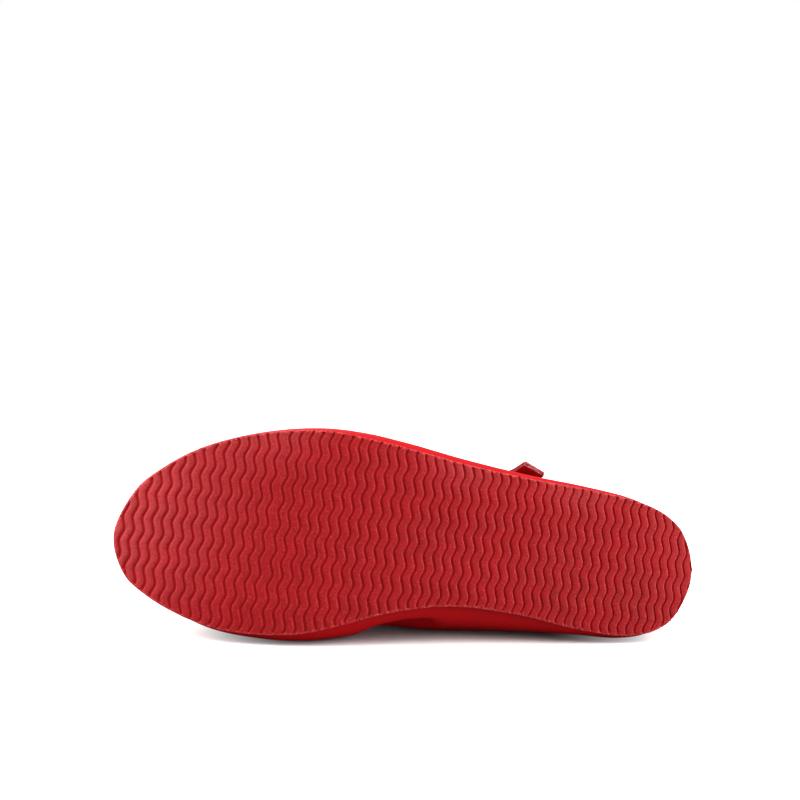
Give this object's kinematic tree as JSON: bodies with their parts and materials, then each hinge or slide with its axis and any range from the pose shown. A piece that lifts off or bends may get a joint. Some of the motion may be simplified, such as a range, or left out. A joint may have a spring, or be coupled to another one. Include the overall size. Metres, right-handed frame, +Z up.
{
  "type": "mary jane shoe",
  "caption": "Red leather mary jane for the left foot with a thin wave-tread rubber sole and an instep strap, lying on its inner side",
  "frame": {"origin": "on the floor, under the middle of the box of the shoe as it lies on its inner side", "axes": "+X from toe to heel, +Y from the sole to the top of the shoe, +Z up, towards the shoe's outer side"},
  "size_m": [0.2566, 0.0812, 0.0883],
  "materials": {
    "sole_rubber": "matte red moulded rubber",
    "upper_leather": "smooth red leather, satin",
    "insole_lining": "undyed lining leather, matte"
  },
  "bodies": {
    "root": {"outsole": "sole_rubber", "upper": "upper_leather", "insole": "insole_lining", "strap": "upper_leather"}
  },
  "joints": []
}
